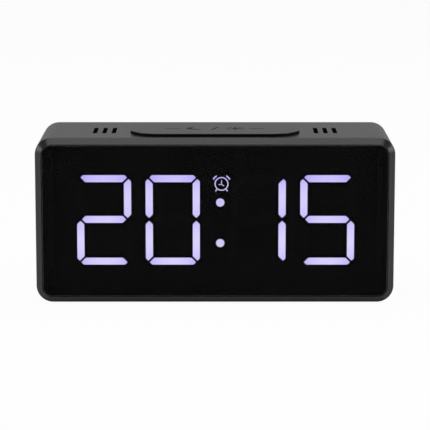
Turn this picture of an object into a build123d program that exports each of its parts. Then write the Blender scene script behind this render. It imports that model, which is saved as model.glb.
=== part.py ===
# Digital LED desk clock, modelled piece by piece in millimetres.
# The front faces -Y, +Z is up, and the origin is on the ground under the middle of the clock.
from build123d import *
import math
import os

os.makedirs("parts", exist_ok=True)

# Case sleeve
case_width = 150.0
case_height = 69.7
case_depth = 52.0
case_wall = 2.0
case_corner = 7.0            # corner radius seen from the front
front_chamfer = 2.5
front_land = 0.2             # flat left between the chamfer and the lens pocket
chamfer_round = 0.5          # softens the chamfer's outer edge
rear_round = 1.0

# Front lens and its seat
lens_thickness = 2.0
lens_recess = 0.3            # the lens sits this far behind the case front
lens_gap = 0.15              # gap all round the lens
lens_bevel = 0.4
tape_thickness = 0.2
tape_width = 1.8
ledge_width = 2.4
ledge_thickness = 1.3
ledge_corner = 2.15

# Digits, seen from the front
shown_time = "2015"
digit_side_margin = 9.725    # reflector edge to the first and last digit
digit_end_margin = 10.54     # reflector edge to a digit's top and bottom
digit_gap = 6.01             # between the two digits of a pair
pair_gap = 13.21             # between the second and the third digit
segment_width = 3.04
segment_gap = 0.8            # dark line between two segments
digit_corner = 2.7           # cut corner of a digit's outline
segment_round = 0.12
middle_rise = 0.27           # the middle segment sits this far above the digit's middle
display_right = 0.29
display_drop = 0.16
colon_right = 1.91           # from the middle of the display
colon_drop = 1.19
colon_spacing = 17.25
dot_radius = 1.78

# Alarm sign, a small alarm clock left of the third digit
icon_right = 2.43
icon_rise = 15.36
icon_ring_radius = 2.69      # middle of the ring's stroke
icon_stroke = 0.48
icon_bell_radius = 3.93
icon_bell_stroke = 0.56
icon_bell_start = 28.0       # degrees above the level
icon_bell_end = 60.0
icon_foot_length = 1.36      # from the middle of the ring's stroke
icon_foot_turn = 51.0        # below the level
icon_hand_stroke = 0.36
icon_hand_drop = 0.18        # the hands meet this far below the sign's middle
icon_hands = [(90.0, 1.54), (185.0, 0.95), (-36.0, 1.12)]  # turn and length
icon_well_radius = 4.6
icon_well_wall = 0.22        # the round well is cut flat this far from the third digit

# Display stack behind the lens
mask_thickness = 0.2
mask_side_gap = 0.4
reflector_depth = 6.0
reflector_corner = 1.0
filler_depth = 2.0
filler_fit = 0.05
led_width = 1.6
led_height = 0.8
led_thickness = 0.6
board_thickness = 1.6
display_board_gap = 2.85     # above and below the display board
board_side_gap = 0.5
display_post_radius = 2.6
display_post_inset = 2.2     # post axis from the inner side wall
display_post_end = 6.0       # post axis from the board's upper and lower edge

# Screws
small_thread = 1.0           # thread radius of the board screws
small_head = 1.9
small_head_height = 1.2
small_screw_length = 5.0
rear_thread = 1.3
thread_fit = 0.02            # between a thread and the hole it has cut
rear_head = 2.6
rear_head_height = 1.5
rear_screw_length = 10.0
screw_hole_gap = 0.2         # round a screw where it passes through
drive_slot = 0.5
drive_depth = 0.7
head_round = 0.42

# Rear screw bosses in the case
boss_radius = 3.2
boss_inset = 4.3             # boss axis from the inner walls
boss_length = 16.0
boss_rib = 1.6

# Rear cover
cover_recess = 1.0           # cover face inside the case rim
cover_thickness = 2.0
cover_gap = 0.15
pad_depth = 1.4              # extra thickness under each rear screw
pad_radius = 3.6
head_recess = 1.8
head_gap = 0.3
lip_depth = 3.0
lip_thickness = 1.4
lip_gap = 0.2

# Feet
foot_radius = 4.0
foot_proud = 0.8
foot_recess = 0.5
foot_gap = 0.15
foot_edge_round = 0.3
foot_side_inset = 14.0
foot_end_inset = 10.0

# Snooze bar
bar_length = 71.0
bar_front_margin = 5.7       # case front to the bar
bar_rear_margin = 13.7       # bar to the case rear
bar_corner = 13.0            # corner radius seen from above
bar_proud = 1.2
bar_gap = 0.25
bar_skin = 1.8
bar_flange = 1.0
bar_flange_thickness = 1.2
bar_edge_round = 0.2
bar_travel = 0.6
slide_gap = 0.05             # left between a key and what it touches
press_post_radius = 2.0
spring_spigot_radius = 1.6
spring_spigot_length = 2.0
spring_from_end = 13.5       # spring axis from the end of the bar
mark_depth = 0.25            # sunk signs on top of the bar
mark_stroke = 0.8
mark_height = 8.4
mark_length = 42.0
moon_radius = 3.7
moon_cut_radius = 3.2
moon_cut_shift = 1.9
sun_radius = 1.7
sun_ray_length = 1.5
sun_ray_gap = 0.8
sun_rays = 8
sign_from_middle = 8.5
sign_line_length = 6.5
slash_turn = 18.0

# Springs
spring_radius = 2.2
spring_wire = 0.225
spring_turns = 7
spring_clearance = 0.3

# Snooze board
snooze_board_drop = 8.0      # board top below the case top's underside
snooze_board_inset = 6.4     # board edge inside the bar's front and rear
snooze_post_radius = 2.4
snooze_post_gap = 4.0        # post axis beyond the end of the bar
snooze_hole_inset = 2.5      # post axis from the board's front and rear edge
snooze_hole_end = 3.0        # post axis from the board's ends

# Tactile switches
switch_side = 6.0
switch_height = 3.5
switch_round = 0.4
stem_radius = 1.7
stem_proud = 0.9
stem_inside = 1.0
stem_fit = 0.05
stem_spare = 0.1             # left under a stem that is pressed home

# Sound slots in the top
slot_width = 1.85
slot_length = 16.5
slot_corner = 0.4
slot_pitch = 3.98
slot_count = 3
slot_from_bar = 7.23         # first slot beyond the end of the bar
slot_forward = 1.75          # slot middle in front of the case middle

# Main board
main_post_length = 7.4
main_post_radius = 2.5
main_board_side_gap = 8.0    # case side wall to the board
main_board_bay_gap = 8.2     # board to the battery bay
main_board_top_gap = 8.85    # case ceiling to the board
main_board_base_gap = 6.85   # board to the case floor
board_hole_inset = 3.5
board_corner = 1.0

# Rear buttons
button_names = ["time", "alarm", "down", "up"]
button_row_margin = 7.0      # board edge to the middle of the first and last button
button_spacing = 4.5         # between two button caps
button_height = 4.6
button_corner = 1.4
button_gap = 0.25
button_flange = 1.0
button_flange_thickness = 1.0
button_post_radius = 1.5
button_travel = 0.5
button_drop = 14.0           # below the board's upper edge
button_edge_round = 0.4

# Power inlet
usb_width = 8.94
usb_height = 3.26
usb_wall = 0.35
usb_length = 9.0
usb_back = 1.5               # solid base of the inlet
usb_tongue_width = 6.2
usb_tongue_thickness = 0.7
usb_tongue_short = 0.8       # the tongue ends this far inside the mouth
usb_gap = 0.25
round_end_spare = 0.01       # keeps a short flat between two round ends
usb_left = 16.0              # from the middle of the main board
usb_rise = 13.0              # above the board's lower edge

# Parts on the main board
buzzer_radius = 6.0
buzzer_height = 8.5
buzzer_hole_radius = 1.0
buzzer_hole_depth = 2.8
buzzer_edge_round = 0.5
buzzer_left = 16.0
buzzer_rise = 14.0
chip_length = 17.9
chip_width = 7.5
chip_height = 2.3
chip_leads = 14              # on each long side
chip_lead_pitch = 1.27
chip_lead_width = 0.42
chip_lead_reach = 1.4
chip_lead_thickness = 0.3
chip_right = 2.0
chip_drop = 3.0
crystal_radius = 1.5
crystal_length = 8.0
crystal_edge_round = 0.5
crystal_left = 14.0
capacitor_radius = 2.5
capacitor_height = 7.0
capacitor_edge_round = 0.4
capacitor_count = 3
capacitor_pitch = 5.6
capacitor_rise = 5.0         # above the board's lower edge
capacitor_left = 4.0
resistor_length = 2.0
resistor_width = 1.25
resistor_height = 0.55
resistor_count = 8
resistor_pitch = 2.6
resistor_rise = 5.5
transistor_length = 2.9
transistor_width = 1.5
transistor_height = 1.1
transistor_count = 4
transistor_pitch = 5.0
transistor_drop = 6.0        # below the board's upper edge

# Display ribbon
ribbon_width = 16.0
ribbon_thickness = 0.9
ribbon_right = 14.0          # from the middle of the main board
ribbon_socket_depth = 4.0
ribbon_socket_height = 3.0
ribbon_socket_side = 1.0
ribbon_slot_depth = 2.0      # mouth that takes the ribbon's end
ribbon_front_drop = 14.0     # below the middle of the case
ribbon_rear_rise = 6.0       # above the main board's lower edge
ribbon_sag = 4.0
ribbon_bend = 3.5
ribbon_turns = [0.3, 0.45, 0.7, 0.8]  # shares of the way back where the ribbon turns

# Battery bay
cell_radius = 5.25
cell_length = 43.3
cell_nub_radius = 1.9
cell_nub_length = 1.0
cell_edge_round = 0.5
cell_count = 3
cell_gap = 0.4
cell_cover_gap = 0.5
contact_thickness = 0.4
contact_height = 8.0
contact_tag_width = 2.5
contact_tag_length = 2.0
cell_spring_length = 4.5
cell_spring_radius = 3.0
cell_spring_wire = 0.25
cell_spring_turns = 4
bay_wall = 1.5
bay_floor = 1.5
bay_ledge = 1.5
bay_side_gap = 12.2          # battery bay to the case side wall
bay_drop = 1.5

# Battery door
door_thickness = 1.6
door_gap = 0.3
door_seat_gap = 0.15         # between the door and the ledge under it
hinge_radius = 1.4
pin_radius = 0.8
pin_fit = 0.05
pin_length = 1.2
catch_width = 12.0
catch_height = 9.0
catch_slit = 0.8
catch_bump = 0.2
catch_bump_depth = 0.8
grip_radius = 5.0
grip_depth = 0.7
grip_ribs = 3
grip_rib_pitch = 1.6
grip_rib_width = 0.6
door_edge_round = 0.3

# Wires
wire_radius = 0.6
wire_bend = 2.0
lead_rise = 4.0              # battery leads, from their tag to their pad on the board
lead_run = 6.0               # straight part above the board's edge
snooze_lead_left = 2.4       # from the axis of the main board's right holes
snooze_lead_spacing = 2.4
wire_drop = 6.0              # snooze leads, from their board down to the main board

# Places worked out from the sizes
front_y = -case_depth / 2
rear_y = case_depth / 2
base_z = foot_proud
top_z = base_z + case_height
mid_z = base_z + case_height / 2
inner_width = case_width - 2 * case_wall
inner_height = case_height - 2 * case_wall
inner_corner = case_corner - case_wall
ceiling_z = top_z - case_wall
front_rim = front_chamfer + front_land
pocket_width = case_width - 2 * front_rim
pocket_height = case_height - 2 * front_rim
pocket_corner = case_corner - front_rim
lens_front = front_y + lens_recess
ledge_front = lens_front + lens_thickness + tape_thickness
ledge_back = ledge_front + ledge_thickness
reflector_front = ledge_back + mask_thickness
display_board_front = reflector_front + reflector_depth
display_board_back = display_board_front + board_thickness
display_board_height = inner_height - 2 * display_board_gap
display_post_x = inner_width / 2 - display_post_inset
display_post_z = display_board_height / 2 - display_post_end
reflector_width = 2 * (display_post_x - display_post_radius - mask_side_gap)
reflector_height = display_board_height - 2 * mask_side_gap
digit_width = (reflector_width - 2 * digit_side_margin - 2 * digit_gap - pair_gap) / 4
digit_height = reflector_height - 2 * digit_end_margin
digit_pitch = digit_width + digit_gap
pair_spacing = digit_width + pair_gap
display_x = display_right
display_z = mid_z - display_drop
cover_face = rear_y - cover_recess
cover_inside = cover_face - cover_thickness
pad_front = cover_inside - pad_depth
boss_x = inner_width / 2 - boss_inset
boss_z = inner_height / 2 - boss_inset
bar_width = case_depth - bar_front_margin - bar_rear_margin
bar_y = front_y + bar_front_margin + bar_width / 2
spring_from_middle = bar_length / 2 - spring_from_end
snooze_board_top = ceiling_z - snooze_board_drop
main_back = cover_inside - main_post_length
main_front = main_back - board_thickness
snooze_board_bottom = snooze_board_top - board_thickness
snooze_board_width = bar_width - 2 * snooze_board_inset
snooze_post_x = bar_length / 2 + snooze_post_gap
snooze_post_y = snooze_board_width / 2 - snooze_hole_inset
cavity_width = cell_length + cell_nub_length + cell_spring_length + 2 * contact_thickness
cavity_height = cell_count * 2 * cell_radius + (cell_count + 1) * cell_gap
door_back = cover_face - door_thickness
cavity_top = door_back - door_seat_gap
cell_y = cavity_top - cell_cover_gap - cell_radius
cavity_floor = cell_y - cell_radius
bay_front = cavity_floor - bay_floor
opening_width = cavity_width + 2 * bay_ledge
opening_height = cavity_height + 2 * bay_ledge + 2 * hinge_radius
bay_x = inner_width / 2 - bay_side_gap - bay_wall - opening_width / 2
bay_z = mid_z - bay_drop
main_left = -inner_width / 2 + main_board_side_gap
main_right = bay_x - opening_width / 2 - bay_wall - main_board_bay_gap
main_low = base_z + case_wall + main_board_base_gap
main_high = ceiling_z - main_board_top_gap
main_board_width = main_right - main_left
main_board_height = main_high - main_low
main_x = (main_left + main_right) / 2
main_z = (main_low + main_high) / 2
button_pitch = (main_board_width - 2 * button_row_margin) / (len(button_names) - 1)
button_length = button_pitch - button_spacing
ribbon_x = main_x + ribbon_right
cavity_z = bay_z + hinge_radius
opening_low = bay_z - opening_height / 2
opening_high = bay_z + opening_height / 2
hinge_y = cover_face - hinge_radius
hinge_z = opening_low + door_gap + hinge_radius

corner_signs = [(-1, -1), (1, -1), (-1, 1), (1, 1)]


def along_y(sketch, start, depth):
    # A flat shape drawn in X and Z, grown towards the back
    plane = Plane(origin=(0, start, 0), x_dir=(1, 0, 0), z_dir=(0, -1, 0))
    return extrude(plane * sketch, amount=depth, dir=(0, 1, 0))


def along_z(sketch, start, depth):
    # A flat shape drawn in X and Y, grown upwards
    return extrude(Plane.XY.offset(start) * sketch, amount=depth, dir=(0, 0, 1))


def rod_y(x, z, radius, start, depth):
    return along_y(Pos(x, z) * Circle(radius), start, depth)


def rod_z(x, y, radius, start, depth):
    return along_z(Pos(x, y) * Circle(radius), start, depth)


def block(x, y, z, width, depth, height):
    # A box by its middle point
    return Pos(x, y, z) * Box(width, depth, height)


def plate_y(x, z, width, height, radius, start, depth):
    return along_y(Pos(x, z) * RectangleRounded(width, height, radius), start, depth)


def gather(pieces):
    # Several separate solids that share one node
    return Compound(children=[solid for piece in pieces for solid in piece.solids()])


def edges_at(shape, axis, place):
    # The edges that lie wholly in one plane across an axis
    def flat(edge):
        box = edge.bounding_box()
        low = {Axis.X: box.min.X, Axis.Y: box.min.Y, Axis.Z: box.min.Z}[axis]
        high = {Axis.X: box.max.X, Axis.Y: box.max.Y, Axis.Z: box.max.Z}[axis]
        return abs(low - place) < 0.001 and abs(high - place) < 0.001
    return [edge for edge in shape.edges() if flat(edge)]


def coil_z(x, y, low, high, radius, wire, turns):
    # A round wire spring that stands on its lower end
    rise = high - low - 2 * wire
    path = Helix(rise / turns, rise, radius, center=(x, y, low + wire))
    section = Plane(origin=path @ 0, z_dir=path % 0) * Circle(wire)
    return sweep(section, path=path)


def coil_x(y, z, start, end, radius, wire, turns):
    # A round wire spring that runs from start to end along X
    sign = 1 if end > start else -1
    reach = abs(end - start) - 2 * wire
    centre = (start + sign * wire, y, z)
    path = Helix(reach / turns, reach, radius, center=centre, direction=(sign, 0, 0))
    section = Plane(origin=path @ 0, z_dir=path % 0) * Circle(wire)
    return sweep(section, path=path)


def wire_along(points, radius, bend):
    path = FilletPolyline(*points, radius=bend)
    section = Plane(origin=path @ 0, z_dir=path % 0) * Circle(radius)
    return sweep(section, path=path)


def screw_y(x, z, head_face, direction, thread, length, head, head_height):
    # A pan head screw along Y: direction is +1 where its tip points to the back
    shank_start = head_face if direction > 0 else head_face - length
    head_start = head_face - head_height if direction > 0 else head_face
    shank = rod_y(x, z, thread, shank_start, length)
    top = rod_y(x, z, head, head_start, head_height)
    outer = head_face - direction * head_height
    top = fillet(edges_at(top, Axis.Y, outer), head_round)
    drive_y = outer + direction * drive_depth / 2
    cross = block(x, drive_y, z, 2 * head, drive_depth, drive_slot)
    cross += block(x, drive_y, z, drive_slot, drive_depth, 2 * head)
    return shank + top - cross


def screw_up(x, y, head_face, thread, length, head, head_height):
    # A pan head screw that points up, its head under head_face
    shank = rod_z(x, y, thread, head_face, length)
    top = rod_z(x, y, head, head_face - head_height, head_height)
    top = fillet(edges_at(top, Axis.Z, head_face - head_height), head_round)
    drive_z = head_face - head_height + drive_depth / 2
    cross = block(x, y, drive_z, 2 * head, drive_slot, drive_depth)
    cross += block(x, y, drive_z, drive_slot, 2 * head, drive_depth)
    return shank + top - cross


def bar_outline(grow):
    # The snooze bar seen from above, drawn larger by grow
    outline = RectangleRounded(bar_length + 2 * grow, bar_width + 2 * grow, bar_corner + grow)
    return Pos(0, bar_y) * outline


# Digit outlines
segments_lit = {
    "0": "abcdef", "1": "bc", "2": "abdeg", "3": "abcdg", "4": "bcfg",
    "5": "acdfg", "6": "acdefg", "7": "abc", "8": "abcdefg", "9": "abcdfg",
}
digit_centres = [
    display_x - pair_spacing / 2 - digit_pitch,
    display_x - pair_spacing / 2,
    display_x + pair_spacing / 2,
    display_x + pair_spacing / 2 + digit_pitch,
]


def segment_points(letter, shrink):
    # Corner points of one segment about its digit's middle, drawn smaller by shrink
    half_w = digit_width / 2 - shrink
    half_h = digit_height / 2 - shrink
    width = segment_width - 2 * shrink
    step = (segment_gap + 2 * shrink) / math.sqrt(2)
    cut = digit_corner + shrink * math.sqrt(2) - 2 * shrink
    tip = (cut - step) / 2
    mid = half_w - width / 2
    if letter in "ad":
        top = [
            (-half_w + cut, half_h), (half_w - cut, half_h),
            (half_w - tip - step, half_h - tip),
            (half_w - width - step, half_h - width),
            (-half_w + width + step, half_h - width),
            (-half_w + tip + step, half_h - tip),
        ]
        return top if letter == "a" else [(x, -z) for x, z in top]
    if letter == "g":
        end = mid - step
        side = end - width / 2
        return [(-end, middle_rise), (-side, middle_rise + width / 2), (side, middle_rise + width / 2),
                (end, middle_rise), (side, middle_rise - width / 2), (-side, middle_rise - width / 2)]
    low = step - middle_rise if letter in "ce" else step + middle_rise
    upper_right = [
        (half_w, half_h - cut), (half_w - tip, half_h - tip - step),
        (half_w - width, half_h - width - step),
        (half_w - width, low + width / 2), (mid, low), (half_w, low + width / 2),
    ]
    flip_x = -1 if letter in "ef" else 1
    flip_z = -1 if letter in "ce" else 1
    return [(x * flip_x, z * flip_z) for x, z in upper_right]


def segment_sketch(letter, centre, shrink):
    outline = Polygon(*segment_points(letter, shrink), align=None)
    outline = fillet(outline.vertices(), segment_round)
    return Pos(centre, display_z) * outline


def dot_places():
    middle = display_z - colon_drop
    return [(display_x + colon_right, middle + sign * colon_spacing / 2) for sign in (-1, 1)]


def icon_well(shrink):
    flat = 2 * (pair_gap / 2 - icon_right - icon_well_wall - shrink)
    well = Circle(icon_well_radius - shrink) & Rectangle(flat, 3 * icon_well_radius)
    return Pos(display_x + icon_right, display_z + icon_rise) * well


def icon_strokes():
    # Ring, two bells, two feet and three hands of a small alarm clock
    half = icon_stroke / 2
    ring = Circle(icon_ring_radius + half) - Circle(icon_ring_radius - half)
    half = icon_bell_stroke / 2
    bells = Circle(icon_bell_radius + half) - Circle(icon_bell_radius - half)
    reach = 2 * icon_bell_radius
    ends = [math.radians(turn) for turn in (icon_bell_start, icon_bell_end)]
    wedge = Polygon((0, 0), *[(reach * math.cos(turn), reach * math.sin(turn)) for turn in ends], align=None)
    bell = bells & wedge
    foot_middle = icon_ring_radius + icon_foot_length / 2
    foot = Rot(0, 0, -icon_foot_turn) * Pos(foot_middle, 0) * Rectangle(icon_foot_length, icon_stroke)
    strokes = ring + bell + mirror(bell, Plane.YZ) + foot + mirror(foot, Plane.YZ)
    hands = Sketch()
    for turn, length in icon_hands:
        hands += Rot(0, 0, turn) * Pos(length / 2, 0) * Rectangle(length + icon_hand_stroke, icon_hand_stroke)
    strokes += Pos(0, -icon_hand_drop) * hands
    return Pos(display_x + icon_right, display_z + icon_rise) * strokes


# Case
def make_main_housing():
    body = plate_y(0, mid_z, case_width, case_height, case_corner, front_y, case_depth)
    body = chamfer(edges_at(body, Axis.Y, front_y), front_chamfer)
    body = fillet(edges_at(body, Axis.Y, front_y + front_chamfer), chamfer_round)
    body = fillet(edges_at(body, Axis.Y, rear_y), rear_round)
    body -= plate_y(0, mid_z, pocket_width, pocket_height, pocket_corner,
                    front_y, ledge_front - front_y)
    body -= plate_y(0, mid_z, pocket_width - 2 * ledge_width, pocket_height - 2 * ledge_width,
                    ledge_corner, ledge_front, ledge_thickness)
    body -= plate_y(0, mid_z, inner_width, inner_height, inner_corner,
                    ledge_back, rear_y - ledge_back)
    body -= along_z(bar_outline(bar_gap), ceiling_z, case_wall)
    for side in (-1, 1):
        for number in range(slot_count):
            slot_x = side * (bar_length / 2 + slot_from_bar + number * slot_pitch)
            slot = Pos(slot_x, -slot_forward) * RectangleRounded(slot_width, slot_length, slot_corner)
            body -= along_z(slot, ceiling_z, case_wall)
    for x, y in foot_places():
        body -= rod_z(x, y, foot_radius + foot_gap, base_z, foot_recess)
    post_length = display_board_front - ledge_back
    for sx, sz in corner_signs:
        x = sx * display_post_x
        z = mid_z + sz * display_post_z
        body += rod_y(x, z, display_post_radius, ledge_back, post_length)
        body -= rod_y(x, z, small_thread + thread_fit, display_board_front - small_screw_length, small_screw_length)
    for sx, sz in corner_signs:
        x = sx * boss_x
        z = mid_z + sz * boss_z
        body += rod_y(x, z, boss_radius, pad_front - boss_length, boss_length)
        middle_y = pad_front - boss_length / 2
        body += block(x + sx * boss_inset / 2, middle_y, z, boss_inset, boss_length, boss_rib)
        body += block(x, middle_y, z + sz * boss_inset / 2, boss_rib, boss_length, boss_inset)
        body -= rod_y(x, z, rear_thread + thread_fit, pad_front - rear_screw_length, rear_screw_length)
    for x, y in snooze_post_places():
        body += rod_z(x, y, snooze_post_radius, snooze_board_top, ceiling_z - snooze_board_top)
        body -= rod_z(x, y, small_thread + thread_fit, snooze_board_top, small_screw_length)
    return body


def make_front_lens():
    lens = plate_y(0, mid_z, pocket_width - 2 * lens_gap, pocket_height - 2 * lens_gap,
                   pocket_corner - lens_gap, lens_front, lens_thickness)
    return chamfer(edges_at(lens, Axis.Y, lens_front), lens_bevel)


def make_lens_tape():
    width = pocket_width - 4 * lens_gap
    height = pocket_height - 4 * lens_gap
    corner = pocket_corner - 2 * lens_gap
    start = lens_front + lens_thickness
    ring = plate_y(0, mid_z, width, height, corner, start, tape_thickness)
    return ring - plate_y(0, mid_z, width - 2 * tape_width, height - 2 * tape_width,
                          corner - tape_width, start, tape_thickness)


# Feet
def foot_places():
    x = case_width / 2 - foot_side_inset
    y = case_depth / 2 - foot_end_inset
    return [(-x, -y), (x, -y), (-x, y), (x, y)]


def make_foot(place):
    x, y = place
    foot = rod_z(x, y, foot_radius, 0, foot_proud + foot_recess)
    return fillet(edges_at(foot, Axis.Z, 0), foot_edge_round)


# Display
def make_display_mask():
    sheet = plate_y(0, mid_z, reflector_width, reflector_height, reflector_corner, ledge_back, mask_thickness)
    for centre in digit_centres:
        for letter in "abcdefg":
            sheet -= along_y(segment_sketch(letter, centre, 0), ledge_back, mask_thickness)
    for x, z in dot_places():
        sheet -= rod_y(x, z, dot_radius, ledge_back, mask_thickness)
    return sheet - along_y(icon_strokes(), ledge_back, mask_thickness)


def make_reflector_block():
    body = plate_y(0, mid_z, reflector_width, reflector_height, reflector_corner,
                   reflector_front, reflector_depth)
    for centre in digit_centres:
        for letter in "abcdefg":
            body -= along_y(segment_sketch(letter, centre, 0), reflector_front, reflector_depth)
    for x, z in dot_places():
        body -= rod_y(x, z, dot_radius, reflector_front, reflector_depth)
    return body - along_y(icon_well(0), reflector_front, reflector_depth)


def make_fillers(number, lit):
    shown = segments_lit[shown_time[number]]
    letters = [letter for letter in "abcdefg" if (letter in shown) == lit]
    centre = digit_centres[number]
    return [along_y(segment_sketch(letter, centre, filler_fit), reflector_front, filler_depth)
            for letter in letters]


def make_unlit_segments():
    return gather([piece for number in range(4) for piece in make_fillers(number, False)])


def make_colon_dots():
    return gather([rod_y(x, z, dot_radius - filler_fit, reflector_front, filler_depth)
                   for x, z in dot_places()])


def make_alarm_icon_filler():
    return along_y(icon_well(filler_fit), reflector_front, filler_depth)


def led_places():
    # One LED in the middle of each segment, dot and sign
    side = digit_width / 2 - segment_width / 2
    rise = digit_height / 2 - segment_width / 2
    spots = [(0, rise), (0, middle_rise), (0, -rise)]
    spots += [(sx * side, sz * digit_height / 4) for sx, sz in corner_signs]
    places = [(centre + x, display_z + z) for centre in digit_centres for x, z in spots]
    return places + dot_places() + [(display_x + icon_right, display_z + icon_rise)]


def make_display_leds():
    depth = display_board_front - led_thickness / 2
    return gather([block(x, depth, z, led_width, led_thickness, led_height) for x, z in led_places()])


def make_display_board():
    board = plate_y(0, mid_z, inner_width - 2 * board_side_gap, display_board_height, board_corner,
                    display_board_front, board_thickness)
    for sx, sz in corner_signs:
        board -= rod_y(sx * display_post_x, mid_z + sz * display_post_z,
                       small_thread + screw_hole_gap, display_board_front, board_thickness)
    return board


def make_display_board_screws():
    return gather([screw_y(sx * display_post_x, mid_z + sz * display_post_z, display_board_back, -1,
                           small_thread, small_screw_length, small_head, small_head_height)
                   for sx, sz in corner_signs])


# Snooze bar and its board
def snooze_post_places():
    return [(sx * snooze_post_x, bar_y + sy * snooze_post_y) for sx, sy in corner_signs]


def make_snooze_bar():
    top = top_z + bar_proud
    flange_top = ceiling_z - slide_gap
    key = along_z(bar_outline(0), flange_top, top - flange_top)
    key = fillet(edges_at(key, Axis.Z, top), bar_edge_round)
    key += along_z(bar_outline(bar_flange), flange_top - bar_flange_thickness, bar_flange_thickness)
    roof = top - bar_skin
    floor = flange_top - bar_flange_thickness
    key -= along_z(bar_outline(-bar_skin), floor, roof - floor)
    post_end = snooze_board_top + switch_height + stem_proud + slide_gap
    key += rod_z(0, bar_y, press_post_radius, post_end, roof - post_end)
    for side in (-1, 1):
        key += rod_z(side * spring_from_middle, bar_y, spring_spigot_radius,
                     roof - spring_spigot_length, spring_spigot_length)
        web = spring_from_middle - 2 * (spring_radius + spring_wire + spring_clearance)
        key += block(side * spring_from_middle / 2, bar_y, (roof + floor) / 2, web, bar_skin, roof - floor)
    return key - along_z(Pos(0, bar_y) * bar_marks(), top - mark_depth, mark_depth)


def bar_marks():
    # A moon, a slash and a sun between two short lines
    moon = Circle(moon_radius) - Pos(moon_cut_shift, moon_cut_shift / 2) * Circle(moon_cut_radius)
    sun = Sketch() + Circle(sun_radius)
    ray_middle = sun_radius + sun_ray_gap + sun_ray_length / 2
    for number in range(sun_rays):
        sun += Rot(0, 0, 360 / sun_rays * number) * Pos(ray_middle, 0) * Rectangle(sun_ray_length, mark_stroke)
    marks = Pos(-sign_from_middle, 0) * moon + Pos(sign_from_middle, 0) * sun
    marks += Rot(0, 0, -slash_turn) * Rectangle(mark_stroke, mark_height)
    for side in (-1, 1):
        marks += Pos(side * (mark_length - sign_line_length) / 2, 0) * Rectangle(sign_line_length, mark_stroke)
    return marks


def make_snooze_spring(side):
    roof = top_z + bar_proud - bar_skin
    return coil_z(side * spring_from_middle, bar_y, snooze_board_top, roof,
                  spring_radius, spring_wire, spring_turns)


def make_snooze_board():
    length = 2 * (snooze_post_x + snooze_hole_end)
    board = along_z(Pos(0, bar_y) * RectangleRounded(length, snooze_board_width, board_corner),
                    snooze_board_bottom, board_thickness)
    for x, y in snooze_post_places():
        board -= rod_z(x, y, small_thread + screw_hole_gap, snooze_board_bottom, board_thickness)
    return board


def make_snooze_board_screws():
    return gather([screw_up(x, y, snooze_board_bottom, small_thread, small_screw_length,
                            small_head, small_head_height) for x, y in snooze_post_places()])


def make_snooze_switch_body():
    body = block(0, bar_y, snooze_board_top + switch_height / 2, switch_side, switch_side, switch_height)
    body = fillet(body.edges().filter_by(Axis.Z), switch_round)
    depth = stem_inside + bar_travel + stem_spare
    top = snooze_board_top + switch_height
    return body - rod_z(0, bar_y, stem_radius + stem_fit, top - depth, depth)


def make_snooze_switch_stem():
    top = snooze_board_top + switch_height + stem_proud
    stem = rod_z(0, bar_y, stem_radius, top - stem_proud - stem_inside, stem_proud + stem_inside)
    return stem


# Rear buttons and their switches
def button_places():
    first = main_left + button_row_margin
    return [(first + number * button_pitch, main_high - button_drop) for number in range(len(button_names))]


def make_button(place):
    x, z = place
    flange_back = cover_inside - slide_gap
    flange_front = flange_back - button_flange_thickness
    cap = plate_y(x, z, button_length, button_height, button_corner, flange_back, rear_y - flange_back)
    cap = fillet(edges_at(cap, Axis.Y, rear_y), button_edge_round)
    cap += plate_y(x, z, button_length + 2 * button_flange, button_height + 2 * button_flange,
                   button_corner, flange_front, button_flange_thickness)
    stem_top = main_back + switch_height + stem_proud + slide_gap
    return cap + rod_y(x, z, button_post_radius, stem_top, flange_front - stem_top)


def make_rear_switch_bodies():
    bodies = []
    depth = stem_inside + button_travel + stem_spare
    for x, z in button_places():
        body = block(x, main_back + switch_height / 2, z, switch_side, switch_height, switch_side)
        body = fillet(body.edges().filter_by(Axis.Y), switch_round)
        bodies.append(body - rod_y(x, z, stem_radius + stem_fit, main_back + switch_height - depth, depth))
    return gather(bodies)


def make_rear_stem(place):
    x, z = place
    start = main_back + switch_height - stem_inside
    return rod_y(x, z, stem_radius, start, stem_inside + stem_proud)


# Rear cover with the battery bay
def make_rear_cover():
    body = plate_y(0, mid_z, inner_width - 2 * cover_gap, inner_height - 2 * cover_gap,
                   inner_corner - cover_gap, cover_inside, cover_thickness)
    lip_length = 2 * (boss_x - pad_radius - screw_hole_gap)
    lip_z = inner_height / 2 - lip_gap - lip_thickness / 2
    for side in (-1, 1):
        body += block(0, cover_inside - lip_depth / 2, mid_z + side * lip_z,
                      lip_length, lip_depth, lip_thickness)
    lip_height = 2 * (boss_z - pad_radius - screw_hole_gap)
    lip_x = inner_width / 2 - lip_gap - lip_thickness / 2
    for side in (-1, 1):
        body += block(side * lip_x, cover_inside - lip_depth / 2, mid_z,
                      lip_thickness, lip_depth, lip_height)
    body += block(bay_x, (bay_front + cover_inside) / 2, bay_z,
                  opening_width + 2 * bay_wall, cover_inside - bay_front, opening_height + 2 * bay_wall)
    for x, z in main_post_places():
        body += rod_y(x, z, main_post_radius, main_back, main_post_length)
        body -= rod_y(x, z, small_thread + thread_fit, main_back, small_screw_length)
    for sx, sz in corner_signs:
        x = sx * boss_x
        z = mid_z + sz * boss_z
        pad = rod_y(x, z, pad_radius, pad_front, pad_depth)
        body += pad & plate_y(0, mid_z, inner_width - 2 * cover_gap, inner_height - 2 * cover_gap,
                              inner_corner - cover_gap, pad_front, pad_depth)
        body -= rod_y(x, z, rear_thread + screw_hole_gap, pad_front, cover_face - pad_front)
        body -= rod_y(x, z, rear_head + head_gap, cover_face - head_recess, head_recess)
    for x, z in button_places():
        body -= plate_y(x, z, button_length + 2 * button_gap, button_height + 2 * button_gap,
                        button_corner + button_gap, cover_inside, cover_thickness)
    body -= usb_sketch_hole()
    body -= battery_opening()
    return body


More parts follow.
